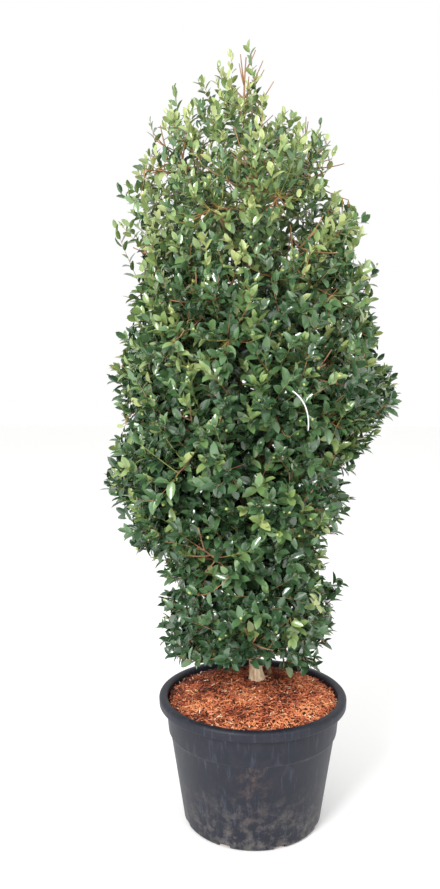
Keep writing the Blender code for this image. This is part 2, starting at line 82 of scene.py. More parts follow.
def new_material(name, color, roughness, **constants):
    """A material with its colour, roughness and other constants set on the shader's own sockets."""
    material = bpy.data.materials.new(name)
    material.use_nodes = True
    shader = material.node_tree.nodes["Principled BSDF"]
    shader.inputs["Base Color"].default_value = linear(color)
    shader.inputs["Roughness"].default_value = roughness
    for socket, value in constants.items():
        shader.inputs[socket.replace("_", " ")].default_value = value
    material.diffuse_color = linear(color)
    return material, material.node_tree, shader


def object_noise(tree, scale, detail):
    """Noise laid through a piece in its own coordinates."""
    where = add(tree, "TexCoord").outputs["Object"]
    return add(tree, "TexNoise", {"Vector": where, "Scale": scale, "Detail": detail}).outputs[0]


def blend(tree, factor, first, second):
    """A blend by a factor of two colours, each a hex colour or another node's output."""
    first, second = (linear(color) if isinstance(color, str) else color for color in (first, second))
    return add(tree, "Mix", {0: factor, 6: first, 7: second}, data_type="RGBA").outputs[2]


def link_blend(tree, shader, factor, first, second):
    """Blends two colours by a factor into the shader's base colour."""
    tree.links.new(blend(tree, factor, first, second), shader.inputs["Base Color"])


def link_relief(tree, shader, height, strength, distance):
    """Roughens the shading by a height, over this distance at most."""
    relief = add(tree, "Bump", {"Strength": strength, "Distance": distance, "Height": height})
    tree.links.new(relief.outputs[0], shader.inputs["Normal"])


print("helpers for the finishes")

# %% [markdown]
# More helpers make pieces. One turns arrays of points and faces into a mesh at once, which is the only
# quick way to make tens of thousands of leaves. Another takes the mesh from a bmesh that is done. The
# last puts a finished mesh in the scene, makes it ride on the plant's one body, and hides the solids
# that it stands for.

# %% Pieces


def array_mesh(name, points, faces):
    """A smooth mesh from an array of points and an array of faces of equally many corners."""
    mesh = bpy.data.meshes.new(name)
    count, corners = faces.shape
    mesh.vertices.add(len(points))
    mesh.vertices.foreach_set("co", np.ascontiguousarray(points, np.float32).ravel())
    mesh.loops.add(count * corners)
    mesh.loops.foreach_set("vertex_index", np.ascontiguousarray(faces, np.int32).ravel())
    mesh.polygons.add(count)
    mesh.polygons.foreach_set("loop_start", np.arange(count, dtype=np.int32) * corners)
    mesh.update(calc_edges=True)
    mesh.shade_smooth()
    return mesh


def done(name, bm):
    """The mesh of a bmesh that is done."""
    mesh = bpy.data.meshes.new(name)
    bm.to_mesh(mesh)
    bm.free()
    return mesh


def add_object(name, data):
    """An object in the scene for a mesh, a camera or a lamp."""
    obj = bpy.data.objects.new(name, data)
    bpy.context.scene.collection.objects.link(obj)
    return obj


def place(name, mesh, material, slot, nodes=()):
    """Adds a piece that rides on the plant and stands for these nodes."""
    obj = add_object(name, mesh)
    mesh.materials.clear()
    mesh.materials.append(material)
    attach(obj, "root")
    if nodes:
        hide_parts(*nodes)
    mesh.calc_loop_triangles()
    print(f"{name}: {len(mesh.loop_triangles)} triangles")
    return obj


print("helpers for the pieces")

# %% [markdown]
# The camera stands 2.8 m in front of the plant at head height and looks a little down. Its distance,
# height and tilt were worked out from how the pot's rim and base appear. The plant stands right of the
# picture's middle, so the camera turns a little to its own left.

# %% Camera
CAMERA_PLACE = (0.0, -2.775, 1.616)
CAMERA_PITCH = math.radians(4.19)
CAMERA_TURN = math.radians(2.54)
camera_data = bpy.data.cameras.new("camera")
camera_data.lens = 30.37
camera_data.sensor_width = 36.0
camera = add_object("camera", camera_data)
camera.location = CAMERA_PLACE
camera.rotation_euler = (math.pi / 2 - CAMERA_PITCH, 0, CAMERA_TURN)
bpy.context.scene.camera = camera
print("camera at", CAMERA_PLACE)

# %% [markdown]
# Soft studio light is an even white surround, which also fills the shade inside the crown, and two
# large lamps: one high at the front left that gives the leaves their shine, and a weaker one on the right.
# The floor is nearly as white as the surround, so that the horizon between them hardly shows.

# %% Light and floor
world = bpy.data.worlds.new("studio")
bpy.context.scene.world = world
world.use_nodes = True
world.node_tree.nodes["Background"].inputs["Color"].default_value = (1, 1, 1, 1)
world.node_tree.nodes["Background"].inputs["Strength"].default_value = 1.0
# Name, power in watts, size and place.
LAMPS = (("key", 540, 2.6, (-3.5, -6.0, 4.6)), ("fill", 160, 4.0, (5.0, -5.0, 3.6)))
LAMP_AIM = Vector((0, 0, 1.4))
for name, power, size, spot in LAMPS:
    lamp_data = bpy.data.lights.new(name, "AREA")
    lamp_data.energy = power
    lamp_data.size = size
    lamp = add_object(name, lamp_data)
    lamp.location = spot
    lamp.rotation_euler = (LAMP_AIM - Vector(spot)).to_track_quat("-Z", "Y").to_euler()
floor_bm = bmesh.new()
bmesh.ops.create_grid(floor_bm, x_segments=1, y_segments=1, size=30)
floor_mesh = done("floor", floor_bm)
floor = add_object("floor", floor_mesh)
floor_mesh.materials.append(new_material("matte_white_floor", "#FDFDFC", 0.9)[0])
bpy.context.scene.view_settings.view_transform = "Standard"
print("floor, surround and two lamps")

# %% [markdown]
# The pot is blow-moulded polythene, so every edge is rounded and the wall is one sheet that rolls over
# at the rim. The quickest true way to make it is the mould maker's: draw half of its section once and
# spin that round the axis. The section follows the solid's sizes, with more points at each rounding.

# %% Pot section
WALL_TOP = 0.462
RIM_ROUNDING = 0.012
RIM_FOOT = 0.4392
COLLAR_FOOT = 0.339
BASE_RADIUS = 0.258
BASE_ROUNDING = 0.014
POT_TURNS = 144


def rounded(centre, radius, start, end, count=6):
    """Points on an arc of the section, from one angle in degrees to another."""
    angles = np.radians(np.linspace(start, end, count))
    return [(centre[0] + radius * math.cos(a), centre[1] + radius * math.sin(a)) for a in angles]


# The floor and the inside of the wall.
section = [(0.0, 0.005), (0.247, 0.005), (0.253, BASE_ROUNDING), (0.3034, COLLAR_FOOT), (0.320, WALL_TOP)]
# The rim's roll and its hanging edge.
section += rounded((0.332, WALL_TOP), RIM_ROUNDING, 165, 95)
section += rounded((0.341, WALL_TOP), RIM_ROUNDING, 85, 5)
section += [(0.3525, 0.452)]
section += rounded((0.3475, 0.4435), 0.0045, 0, -90, 4)
# Under the rim, down the collar and in to the wall.
section += [(0.340, RIM_FOOT), (0.330, 0.4405), (0.3268, 0.4375), (0.3262, 0.430)]
section += [(0.3175, 0.345), (0.3168, 0.341), (0.3150, 0.3375), (0.3105, 0.3335), (0.3088, 0.329)]
# The base.
section += rounded((BASE_RADIUS - 0.0125, BASE_ROUNDING), BASE_ROUNDING, 0, -90, 7)
section += [(0.120, 0.0), (0.0, 0.0)]
print(len(section), "points in the section")

# %% [markdown]
# After the spin, slow noise moves the wall and the rim's hanging edge by about a millimetre, as a mould
# and some years of handling leave them.

# %% Pot body


def spun(section, steps):
    """A bmesh of a section's (radius, height) points spun all the way round the axis."""
    bm = bmesh.new()
    loop = [bm.verts.new((radius, 0, height)) for radius, height in section]
    edges = [bm.edges.new(pair) for pair in zip(loop, loop[1:])]
    turn = {"cent": (0, 0, 0), "axis": (0, 0, 1), "angle": 2 * math.pi}
    bmesh.ops.spin(bm, geom=loop + edges, steps=steps, use_merge=True, **turn)
    bmesh.ops.remove_doubles(bm, verts=bm.verts, dist=0.00005)
    bmesh.ops.recalc_face_normals(bm, faces=bm.faces)
    return bm


pot_bm = spun(section, POT_TURNS)
for vert in pot_bm.verts:
    radius = math.hypot(vert.co.x, vert.co.y)
    if radius > 0.322 and vert.co.z < 0.45:
        vert.co.z += 0.0016 * noise.noise(vert.co * 14)
    if radius > 0.1 and 0.02 < vert.co.z < 0.46:
        vert.co += vert.co.normalized() * 0.0012 * noise.noise(vert.co * 7)
shell = add_object("pot_work", done("pot_shell", pot_bm))
print(len(shell.data.polygons), "faces in the spun pot")

# %% [markdown]
# Bevelled boxes then cut the drain notches through the base edge.

# %% Drain notches
NOTCHES = 8
NOTCH_SIZE = (0.040, 0.046, 0.032)
cutter_bm = bmesh.new()
for number in range(NOTCHES):
    turn = Matrix.Rotation(2 * math.pi * (number + 0.5) / NOTCHES, 4, "Z")
    spot = turn @ Matrix.Translation((BASE_RADIUS, 0, 0)) @ Matrix.Diagonal((*NOTCH_SIZE, 1))
    bmesh.ops.create_cube(cutter_bm, size=1, matrix=spot)
bmesh.ops.bevel(
    cutter_bm, geom=cutter_bm.edges[:], offset=0.004, segments=2, affect="EDGES", profile=0.5, material=-1
)
notches = add_object("notches", done("notches", cutter_bm))
cut = shell.modifiers.new("notches", "BOOLEAN")
cut.object = notches
cut.operation = "DIFFERENCE"
cut.solver = "EXACT"
pot_final = bpy.data.meshes.new_from_object(shell.evaluated_get(bpy.context.evaluated_depsgraph_get()))
bpy.data.objects.remove(shell)
bpy.data.objects.remove(notches)
pot_final.shade_smooth()
pot_final.set_sharp_from_angle(angle=math.radians(40))
print(len(pot_final.polygons), "faces in the pot")

# %% [markdown]
# The plastic is slate blue-grey with a dull shine. Handling left pale upright scuffs, watering left
# specks of brown dust that thicken towards the foot, and a smear of soil dried under the collar in front.
# Each is a noise. The scuffs' is drawn out upwards, and the place on the pot keeps the dust and the smear
# to their own zones.

# %% Pot finish
DUST_TOP = 0.24
SMEAR_FOOT, SMEAR_TOP, SMEAR_HALF_WIDTH = 0.05, 0.335, 0.075
COLLAR_SHADE = 0.337
plastic, tree, shader = new_material("moulded_polythene", "#20222C", 0.46, Specular_IOR_Level=0.25)
where = add(tree, "TexCoord").outputs["Object"]
axes = add(tree, "SeparateXYZ", {0: where})


def ramp(value, low, high, at_low=0.0, at_high=1.0):
    """A value's place between low and high, held at both ends and drawn to a new range."""
    limits = {"From Min": low, "From Max": high, "To Min": at_low, "To Max": at_high}
    return add(tree, "MapRange", {"Value": value, **limits}).outputs[0]


def combine(operation, first, second):
    return add(tree, "Math", {0: first, 1: second}, operation=operation).outputs[0]


drawn_out = add(tree, "Mapping", {0: where, "Scale": (60, 60, 2.2)}).outputs[0]
streaks = add(tree, "TexNoise", {"Vector": drawn_out, "Scale": 1.0, "Detail": 6, "Roughness": 0.7})
scuffs = ramp(streaks.outputs[0], 0.55, 0.80, 0.0, 0.55)
blotches = add(tree, "TexNoise", {"Vector": where, "Scale": 26, "Detail": 8, "Roughness": 0.72})
specks = ramp(blotches.outputs[0], 0.46, 0.66)
dust = combine("MULTIPLY", ramp(axes.outputs["Z"], 0.0, DUST_TOP, 0.70, 0.05), specks)
smear = ramp(combine("ABSOLUTE", axes.outputs["X"], 0.0), 0.0, SMEAR_HALF_WIDTH, 1.0, 0.0)
smear = combine("MULTIPLY", smear, ramp(axes.outputs["Z"], SMEAR_FOOT, SMEAR_TOP))
smear = combine("MULTIPLY", smear, combine("LESS_THAN", axes.outputs["Z"], COLLAR_SHADE))
smear = combine("MULTIPLY", smear, combine("LESS_THAN", axes.outputs["Y"], 0.0))
smear = combine("MULTIPLY", smear, specks)
scuffed = blend(tree, scuffs, "#1F212B", "#565C6C")
dusted = blend(tree, dust, scuffed, "#716B66")
link_blend(tree, shader, smear, dusted, "#5C4A42")
tree.links.new(ramp(blotches.outputs[0], 0.0, 1.0, 0.34, 0.62), shader.inputs["Roughness"])
fine = add(tree, "TexNoise", {"Vector": drawn_out, "Scale": 4, "Detail": 3})
link_relief(tree, shader, fine.outputs[0], 0.12, 0.001)
place("pot_dressed", pot_final, plastic, "pot_plastic", ["pot"])

# %% [markdown]
# The substrate fills the pot to just under the rim and heaps up round the stems. Its surface is a spun
# section as well, then pushed up and down by noise. The loose mulch on it is made next, as chips.

# %% Substrate
SOIL_CROWN_HEIGHT = 0.500
SOIL_CROWN_RADIUS = 0.145
SOIL_EDGE_HEIGHT = 0.450
SOIL_EDGE_RADIUS = 0.3175
SOIL_TURNS = 120


def soil_height(radius):
    """The mound's height at a distance from the pot's axis: level in the middle, then falling."""
    share = np.clip((radius - SOIL_CROWN_RADIUS) / (SOIL_EDGE_RADIUS - SOIL_CROWN_RADIUS), 0, 1)
    return SOIL_CROWN_HEIGHT - (SOIL_CROWN_HEIGHT - SOIL_EDGE_HEIGHT) * (1 - np.cos(np.pi * share)) / 2


soil_section = [(float(r), float(soil_height(r))) for r in np.linspace(0, SOIL_EDGE_RADIUS, 46)]
soil_section += [(0.3028, COLLAR_FOOT), (0.2525, 0.014), (0.2465, 0.0053), (0.0, 0.0053)]
soil_bm = spun(soil_section, SOIL_TURNS)
for vert in soil_bm.verts:
    if vert.co.z > SOIL_EDGE_HEIGHT - 0.002:
        lump = noise.fractal(vert.co * 38, 0.9, 2.0, 4)
        vert.co.z += 0.0045 * lump - 0.002
soil_mesh = done("substrate", soil_bm)
soil_mesh.shade_smooth()
peat, tree, shader = new_material("damp_bark_fines", "#4A2818", 0.95)
crumbs = object_noise(tree, 120, 6)
link_blend(tree, shader, crumbs, "#2C1710", "#7B3F22")
link_relief(tree, shader, crumbs, 0.6, 0.002)
place("substrate", soil_mesh, peat, "bark_mulch", ["root_ball"])

# %% [markdown]
# Bark mulch is shredded into flat splinters, six to thirty millimetres long. A splinter is a block that
# tapers towards one end, drawn out thin. Thousands of copies are laid on the mound, each turned its own
# way and a little tilted.

# %% Splinters
SPLINTERS = 9500
chip_bm = bmesh.new()
bmesh.ops.create_cube(chip_bm, size=1)
taper = [vert for vert in chip_bm.verts if vert.co.x > 0]
bmesh.ops.scale(chip_bm, vec=(1, 0.45, 0.7), verts=taper)
bmesh.ops.triangulate(chip_bm, faces=chip_bm.faces[:])
chip = np.array([vert.co[:] for vert in chip_bm.verts])
chip_faces = np.array([[vert.index for vert in face.verts] for face in chip_bm.faces])
chip_bm.free()

run = SOIL_EDGE_RADIUS * 0.985 * np.sqrt(rng.random(SPLINTERS))
turn = rng.uniform(0, 2 * np.pi, SPLINTERS)
ground = np.stack((run * np.cos(turn), run * np.sin(turn), soil_height(run)), -1)
ground[:, 2] += rng.uniform(0.0, 0.007, SPLINTERS)
heading = rng.uniform(0, 2 * np.pi, SPLINTERS)
tilt = rng.normal(0, 0.28, SPLINTERS)
roll = rng.normal(0, 0.4, SPLINTERS)
long_axis = np.stack((np.cos(heading) * np.cos(tilt), np.sin(heading) * np.cos(tilt), np.sin(tilt)), -1)
level = np.stack((-np.sin(heading), np.cos(heading), 0 * heading), -1)
over = np.cross(long_axis, level)
flat_axis = np.cos(roll)[:, None] * level + np.sin(roll)[:, None] * over
thin_axis = np.cross(long_axis, flat_axis)
sizes = np.stack(
    (
        rng.gamma(4.0, 0.0034, SPLINTERS).clip(0.006, 0.030),
        rng.uniform(0.0018, 0.0058, SPLINTERS),
        rng.uniform(0.0010, 0.0024, SPLINTERS),
    ),
    -1,
)
local = chip[None] * sizes[:, None]
chips = (
    ground[:, None]
    + local[..., 0:1] * long_axis[:, None]
    + local[..., 1:2] * flat_axis[:, None]
    + local[..., 2:3] * thin_axis[:, None]
)
print(len(chips), "splinters of", len(chip_faces), "triangles")

# %% [markdown]
# The splinters are darker at the back and on the left, where painted shade darkens them, and orange towards
# the front right. Slow noise breaks this into patches of damp and dried bark, and about one splinter in
# thirty is pale straw.

# %% Splinter finishes
STRAW_SHARE = 0.03
patch = np.array([noise.fractal(Vector(spot) * 11, 0.8, 2.0, 3) for spot in ground])
# Painted shade: the value falls towards the back and the left, so splinters there come out darker. The
# noisy patches and scatter are real damp and dry bark.
dryness_and_light = 0.30 - 0.55 * ground[:, 1] / 0.3 + 0.30 * ground[:, 0] / 0.3 + 0.9 * patch
dryness_and_light += rng.normal(0, 0.45, SPLINTERS)
kind = np.digitize(dryness_and_light, (-0.15, 0.35, 0.95))
kind[rng.random(SPLINTERS) < STRAW_SHARE] = 4
# The first finish is dark damp bark, and it also carries the painted shade at the back and left.
splinter_finishes = (
    ("mulch_damp_and_shaded", "damp_and_shaded_bark", "#54291D"),
    ("mulch_brown", "brown_bark", "#954A2F"),
    ("mulch_red", "red_bark", "#C9704A"),
    ("mulch_orange", "dry_bark", "#ED9F6C"),
    ("mulch_straw", "pale_wood_fibre", "#F5DDB8"),
)
for number, (name, finish, color) in enumerate(splinter_finishes):
    picked = chips[kind == number]
    faces = (chip_faces[None] + len(chip) * np.arange(len(picked))[:, None, None]).reshape(-1, 3)
    wood, tree, shader = new_material(finish, color, 0.85)
    link_relief(tree, shader, object_noise(tree, 300, 2), 0.3, 0.0005)
    mesh = array_mesh(name, picked.reshape(-1, 3), faces)
    mesh.shade_flat()
    place(name, mesh, wood, "bark_mulch")

# %% [markdown]
# The plant grows by the same rule as its solids. The trunk's axis is a smooth line through a few bends.
# Rows of heights give how far the crown reaches to either side. Five tiers of masses and a spire share
# the crown: each point of it belongs to the mass whose centre is nearest.

# %% Crown and trunk sizes
GAP = 0.0003
GROUND = SOIL_CROWN_HEIGHT + GAP
GOLDEN_ANGLE = math.pi * (3 - math.sqrt(5))
TRUNK_RADIUS = 0.0215
TRUNK_TIP_RADIUS = 0.0075
ROOT_FLARE = 0.013
FLARE_HEIGHT = 0.035
# Height, then x and y.
TRUNK_BENDS = (
    (0.47, 0.021, 0.053),
    (0.62, 0.006, 0.046),
    (0.92, -0.008, 0.020),
    (1.19, -0.005, 0.004),
    (1.41, 0.010, -0.004),
    (1.75, 0.018, 0.004),
    (2.05, 0.014, 0.006),
    (2.46, -0.030, 0.000),
)
# Height, then the reach to the left and to the right.
CROWN = (
    (0.520, 0.215, 0.235),
    (0.600, 0.300, 0.300),
    (0.700, 0.375, 0.310),
    (0.850, 0.360, 0.350),
    (0.950, 0.360, 0.275),
    (1.060, 0.485, 0.300),
    (1.190, 0.560, 0.385),
    (1.280, 0.593, 0.370),
    (1.440, 0.545, 0.430),
    (1.580, 0.540, 0.562),
    (1.690, 0.560, 0.535),
    (1.820, 0.530, 0.515),
    (1.940, 0.498, 0.490),
    (2.070, 0.485, 0.475),
    (2.220, 0.513, 0.445),
    (2.365, 0.500, 0.400),
    (2.500, 0.440, 0.305),
    (2.610, 0.382, 0.225),
    (2.700, 0.290, 0.120),
    (2.790, 0.170, 0.080),
    (2.863, 0.100, 0.010),
)
DEPTH_SHARE = 0.94
CROWN_FLOOR = 0.555
FRONT_FLOOR_RISE = 0.115
Tier = namedtuple("Tier", "name height stagger count climb lean drop")
TIERS = (
    Tier("low", 0.775, -0.020, 4, 22, 2, 0.06),
    Tier("skirt", 1.150, 0.085, 6, 42, 14, 0.13),
    Tier("middle", 1.560, 0.085, 6, 50, 20, 0.13),
    Tier("upper", 1.970, 0.085, 6, 58, 28, 0.13),
    Tier("shoulder", 2.370, -0.070, 4, 62, 45, 0.13),
)
SPIRE_HEIGHT = 2.72
print(len(CROWN), "rows of the crown,", sum(tier.count for tier in TIERS) + 1, "masses")

# %% [markdown]
# Every limb is a line first. The trunk's runs smoothly through its bends, and the others are arcs. The
# crown's reach at any height passes smoothly round the axis, from the left row to the right row by way of
# the depth, which is a share of their mean.

# %% Lines of the limbs


def unit(vectors):
    """The vectors at length one, along their last axis."""
    return vectors / np.linalg.norm(vectors, axis=-1, keepdims=True)


def smooth_line(points, count):
    """Points evenly along a Catmull-Rom curve through the given ones."""
    points = np.array(points, float)
    padded = np.vstack([2 * points[0] - points[1], points, 2 * points[-1] - points[-2]])
    line = []
    for where_along in np.linspace(0, len(points) - 1, count):
        start = min(int(where_along), len(points) - 2)
        t = where_along - start
        a, b, c, d = padded[start : start + 4]
        line.append(
            0.5 * (2 * b + (c - a) * t + (2 * a - 5 * b + 4 * c - d) * t**2)
            + 0.5 * (3 * b - a - 3 * c + d) * t**3
        )
    return np.array(line)


def arc(start, bend, end, count):
    """Points along a quadratic curve from start to end, drawn towards bend."""
    t = np.linspace(0, 1, count)[:, None]
    return (1 - t) ** 2 * start + 2 * t * (1 - t) * bend + t**2 * end


def trunk_line(count):
    """Points along the trunk's axis."""
    return smooth_line([(x, y, height) for height, x, y in TRUNK_BENDS], count)


def trunk_radius(height):
    """The trunk's radius at a height: an even taper, and a flare at the root."""
    share = (height - GROUND) / (TRUNK_BENDS[-1][0] - GROUND)
    flare = ROOT_FLARE * math.exp(-(height - GROUND) / FLARE_HEIGHT)
    return TRUNK_RADIUS + (TRUNK_TIP_RADIUS - TRUNK_RADIUS) * share + flare


def trunk_point(height):
    """The point of the trunk's axis at a height."""
    line = trunk_line(200)
    return np.array([np.interp(height, line[:, 2], line[:, axis]) for axis in (0, 1)] + [height])


def crown_reach(azimuth, height):
    """How far the crown reaches from the pot's axis, at this azimuth and height."""
    rows = np.array(CROWN)
    left = np.interp(height, rows[:, 0], rows[:, 1], left=0, right=0)
    right = np.interp(height, rows[:, 0], rows[:, 2], left=0, right=0)
    side = np.cos(azimuth)
    share = side**2
    depth = DEPTH_SHARE * (left + right) / 2
    reach = np.where(side > 0, right, left) * share + depth * (1 - share)
    floor_height = CROWN_FLOOR + FRONT_FLOOR_RISE * np.maximum(-np.sin(azimuth), 0)
    return np.where(height > floor_height, reach, 0)


def outward(azimuth):
    """The level direction away from the pot's axis."""
    return np.array((math.cos(azimuth), math.sin(azimuth), 0.0))


print("trunk from", round(GROUND, 3), "to", TRUNK_BENDS[-1][0])

# %% [markdown]
# Each mass has a centre, a bough that rises to it from the trunk, and a stem that takes over from the
# bough and runs on to the mass's leading tip. The back mass of the lowest tier grows on a second stem of
# its own, which leaves the mulch beside the trunk.

# %% Masses
BOUGH_POINTS = 14
BOUGH_TAPER = 0.62
masses = []
for tier in TIERS:
    for number in range(tier.count):
        azimuth = 2 * math.pi * number / tier.count
        height = tier.height + (tier.stagger if number % 2 else -tier.stagger)
        centre = 0.60 * float(crown_reach(azimuth, height)) * outward(azimuth)
        centre[2] = height
        lean = math.radians(tier.lean)
        axis = math.cos(lean) * outward(azimuth) + np.array((0, 0, math.sin(lean)))
        run = 0.34 * float(crown_reach(azimuth, height))
        tip = run * outward(azimuth)
        tip[2] = height - tier.drop
        root_height = max(tip[2] - run * math.tan(math.radians(tier.climb)), 0.59)
        root = trunk_point(root_height)
        bend = root + 0.55 * run * outward(azimuth)
        bend[2] += 0.35 * (tip[2] - root_height)
        root_radius = 0.46 * trunk_radius(root_height)
        if (tier.name, number) == ("low", 1):
            root = np.array((0.068, 0.098, TRUNK_BENDS[0][0]))
            bend = root + np.array((-0.005, 0.010, 0.13))
            root_radius = 0.0105
        line = arc(root, bend, tip, BOUGH_POINTS)
        radii = np.linspace(root_radius, BOUGH_TAPER * root_radius, BOUGH_POINTS)
        masses.append((centre, axis, line, radii))
spire_root = trunk_line(19)[-3:]
spire_centre = np.array((spire_root[-1][0], spire_root[-1][1], SPIRE_HEIGHT))
masses.append((spire_centre, np.array((0, 0, 1.0)), spire_root, np.full(3, TRUNK_TIP_RADIUS)))
centres = np.array([centre for centre, _, _, _ in masses])
print(len(masses), "masses")

# %% [markdown]
# Trunk and boughs are swept: a ring of points is extruded step after step along its line and scaled to
# the limb's radius. Noise drawn out along the limb then lifts the bark by about a millimetre at most, in
# long shallow ridges, as on the smooth pale tan bark of a young camellia.

# %% Trunk


def turn_towards(direction):
    """A rotation whose Z points in this direction."""
    return Vector(direction).to_track_quat("Z", "Y").to_matrix().to_4x4()


def sweep(bm, line, radii, sides):
    """Extrudes a ring along a line, and closes both ends."""
    tangents = unit(np.gradient(line, axis=0))
    frames = [
        Matrix.Translation(point) @ turn_towards(tangent) @ Matrix.Diagonal((radius, radius, radius, 1))
        for point, tangent, radius in zip(line.tolist(), tangents.tolist(), radii.tolist())
    ]
    made = bmesh.ops.create_circle(bm, cap_ends=True, radius=1, segments=sides, matrix=frames[0])
    ring = {edge for vert in made["verts"] for edge in vert.link_edges}
    for before, after in zip(frames, frames[1:]):
        made = bmesh.ops.extrude_edge_only(bm, edges=list(ring))["geom"]
        verts = [item for item in made if isinstance(item, bmesh.types.BMVert)]
        ring = {item for item in made if isinstance(item, bmesh.types.BMEdge)}
        ring = {edge for edge in ring if edge.verts[0] in verts and edge.verts[1] in verts}
        bmesh.ops.transform(bm, matrix=after @ before.inverted(), verts=verts)
    bmesh.ops.contextual_create(bm, geom=list(ring))


def add_relief(bm, along, depth):
    """Lifts the bark by noise drawn out along one axis."""
    bmesh.ops.recalc_face_normals(bm, faces=bm.faces)
    bm.normal_update()
    for vert in bm.verts:
        spot = Vector((vert.co.x * 160, vert.co.y * 160, vert.co.z * along))
        vert.co += vert.normal * depth * noise.fractal(spot, 0.7, 2.0, 4)


bark, tree, shader = new_material("smooth_camellia_bark", "#C9A27C", 0.75)
where = add(tree, "TexCoord").outputs["Object"]
drawn = add(tree, "Mapping", {0: where, "Scale": (130, 130, 22)})
ridges = add(tree, "TexNoise", {"Vector": drawn.outputs[0], "Scale": 1.0, "Detail": 5, "Roughness": 0.6})
lifted = add(tree, "MapRange", {"Value": ridges.outputs[0], "From Min": 0.35, "From Max": 0.65})
link_blend(tree, shader, lifted.outputs[0], "#C99C70", "#FFE9CA")
link_relief(tree, shader, ridges.outputs[0], 0.5, 0.001)

trunk_bm = bmesh.new()
line = trunk_line(150)
line = line[line[:, 2] > GROUND - 0.012]
sweep(trunk_bm, line, np.array([trunk_radius(max(point[2], GROUND)) for point in line]), 32)
add_relief(trunk_bm, 14, 0.0009)
trunk_mesh = done("trunk_bark", trunk_bm)
trunk_mesh.shade_smooth()
place("trunk_bark", trunk_mesh, bark, "bark", ["trunk"])

# %% [markdown]
# The boughs and the second stem are swept the same way, in browner young bark. The spire has no bough of
# its own, because the trunk carries it.

# %% Boughs
bough_bm = bmesh.new()
for _, _, line, radii in masses[:-1]:
    sweep(bough_bm, line, radii, 12)
add_relief(bough_bm, 20, 0.0005)
bough_mesh = done("bough_bark", bough_bm)
bough_mesh.shade_smooth()
young_bark, tree, shader = new_material("brown_young_bark", "#8A6446", 0.7)
link_blend(tree, shader, object_noise(tree, 90, 4), "#6B4630", "#B58C66")
place("bough_bark", bough_mesh, young_bark, "bark", ["second_stem", *bough_nodes])

# %% [markdown]
# Inside each mass, branches fan out from the stem. They are tubes of a few sides. All tubes of one kind
# are made together from arrays: rings of points round every step of every line.

# %% Tubes


def tubes(lines, radii, sides):
    """Points and faces of tubes along many lines at once: lines is (count, steps, 3)."""
    count, steps, _ = lines.shape
    tangents = unit(np.gradient(lines, axis=1) + 1e-9)
    chord = unit(lines[:, -1] - lines[:, 0] + 1e-9)
    reference = np.where(np.abs(chord[:, 2:]) > 0.8, (1.0, 0.0, 0.0), (0.0, 0.0, 1.0))
    side = unit(np.cross(tangents, reference[:, None]))
    over = np.cross(tangents, side)
    angle = 2 * np.pi * np.arange(sides) / sides
    spokes = np.cos(angle)[:, None] * side[:, :, None] + np.sin(angle)[:, None] * over[:, :, None]
    points = lines[:, :, None] + radii[:, :, None, None] * spokes
    first = (np.arange(count)[:, None] * steps + np.arange(steps - 1))[..., None] * sides
    here = np.arange(sides)
    there = (here + 1) % sides
    quads = np.stack((first + here, first + there, first + there + sides, first + here + sides), -1)
    return points.reshape(-1, 3), quads.reshape(-1, 4)


def room(index, start, direction):
    """How far a line from start runs before it leaves the mass's share of the crown."""
    steps = np.arange(0.01, 0.8, 0.01)
    points = start + steps[:, None] * direction
    azimuth = np.arctan2(points[:, 1], points[:, 0])
    inside = np.hypot(points[:, 0], points[:, 1]) < crown_reach(azimuth, points[:, 2])
    nearest = np.linalg.norm(points[:, None] - centres, axis=2).argmin(axis=1)
    good = inside & (nearest == index)
    return steps[np.argmin(good)] if not good.all() else steps[-1]


def fan(count, axis, widest):
    """Directions spread evenly in a cone about the axis, by a golden-angle spiral."""
    reference = np.array((0.1, 0.2, 1.0)) if abs(axis[2]) < 0.95 else np.array((1.0, 0, 0))
    side = unit(np.cross(reference, axis))
    over = np.cross(axis, side)
    number = np.arange(count)
    rise_cos = 1 - (number + 0.5) / count * (1 - math.cos(widest))
    rise_sin = np.sqrt(1 - rise_cos**2)
    around = (number + 0.5) * GOLDEN_ANGLE
    flat = np.cos(around)[:, None] * side + np.sin(around)[:, None] * over
    return rise_cos[:, None] * axis + rise_sin[:, None] * flat


print("helpers for branches")

# %% [markdown]
# A mass's stem runs on from its bough almost to the mass's edge. Its branches leave it lower down the
# more they point back, sag a little, and end two thirds of the way to the edge.

# %% Stems and branches
BRANCHES_PER_MASS = 12
STEPS = 9
FAN_ANGLE = math.radians(120)
BRANCH_SHARE = 0.66
stem_lines, stem_radii, branch_lines, branch_owner = [], [], [], []
for index, (centre, axis, line, radii) in enumerate(masses):
    start_direction = unit(line[-1] - line[-2])
    tip = centre + max(room(index, centre, axis) - 0.07, 0.03) * axis
    bend = line[-1] + 0.4 * np.linalg.norm(tip - line[-1]) * start_direction
    stem = arc(line[-1], bend, tip, STEPS)
    stem_lines.append(stem)
    stem_radii.append(np.linspace(radii[-1], 0.0022, STEPS))
    for direction in fan(BRANCHES_PER_MASS, axis, FAN_ANGLE):
        start = stem[min(int(STEPS * (0.35 + 0.35 * float(direction @ axis) + 0.1)), STEPS - 2)]
        end = centre + BRANCH_SHARE * room(index, centre, direction) * direction
        reach = np.linalg.norm(end - start)
        bend = start + 0.5 * (end - start) + np.array((0, 0, -0.10 * reach))
        branch_lines.append(arc(start, bend, end, STEPS))
        branch_owner.append(index)
stem_lines = np.array(stem_lines)
branch_lines = np.array(branch_lines)
branch_owner = np.array(branch_owner)
branch_radii = np.linspace(0.0034, 0.0016, STEPS)[None].repeat(len(branch_lines), 0)
stem_points, stem_faces = tubes(stem_lines, np.array(stem_radii), 6)
branch_points, branch_faces = tubes(branch_lines, branch_radii, 5)
points = np.vstack((stem_points, branch_points))
faces = np.vstack((stem_faces, branch_faces + len(stem_points)))
place("branches", array_mesh("branches", points, faces), young_bark, "foliage", foliage_nodes)
